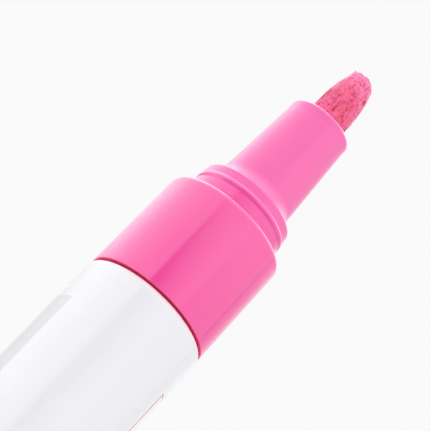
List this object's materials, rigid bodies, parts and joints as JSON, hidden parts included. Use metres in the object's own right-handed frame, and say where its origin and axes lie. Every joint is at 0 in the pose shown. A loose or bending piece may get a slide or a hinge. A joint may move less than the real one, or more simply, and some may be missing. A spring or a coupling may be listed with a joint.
{
  "type": "paint marker",
  "caption": "Uncapped paint marker with a fibre bullet nib, stepped pink nozzle and collar, white barrel and tail plug; pressing the nib opens a sprung valve inside.",
  "frame": {"origin": "centre of the flat tail face, at the bottom of the bounding box", "axes": "+Z along the marker from tail to nib, X and Y across it"},
  "size_m": [0.017, 0.017, 0.1469],
  "materials": {
    "barrel_white": "semi-gloss moulded white",
    "section_pink": "glossy moulded pink",
    "tail_pink": "glossy moulded pink",
    "nib_fibre": "pressed fibre soaked with pink paint",
    "felt": "white felt",
    "natural_plastic": "uncoloured moulded plastic",
    "seal_rubber": "soft grey rubber",
    "steel": "bright drawn steel"
  },
  "bodies": {
    "case": {"barrel": "barrel_white", "tail_plug": "tail_pink", "front_section": "section_pink", "absorber_ring": "felt", "valve_housing": "natural_plastic", "seat_seal": "seal_rubber", "valve_retainer": "natural_plastic", "valve_spring": "steel"},
    "nib_body": {"nib": "nib_fibre"},
    "stem_body": {"valve_stem": "natural_plastic"},
    "ball_1_body": {"mixing_ball_1": "steel"},
    "ball_2_body": {"mixing_ball_2": "steel"}
  },
  "joints": [
    {"name": "nib_press", "type": "slide", "parent": "case", "child": "nib_body", "axis": [0, 0, -1], "range_m": [0, 0.0025], "stiffness_N_per_m": 200},
    {"name": "valve_lift", "type": "slide", "parent": "case", "child": "stem_body", "axis": [0, 0, -1], "range_m": [0, 0.0025], "stiffness_N_per_m": 200, "deforming": ["valve_spring"]},
    {"name": "ball_1_travel", "type": "slide", "parent": "case", "child": "ball_1_body", "axis": [0, 0, 1], "range_m": [0, 0.09]},
    {"name": "ball_2_travel", "type": "slide", "parent": "case", "child": "ball_2_body", "axis": [0, 0, 1], "range_m": [0, 0.09]}
  ],
  "couplings": [
    {"joint": "valve_lift", "follows": "nib_press", "ratio": 1}
  ]
}
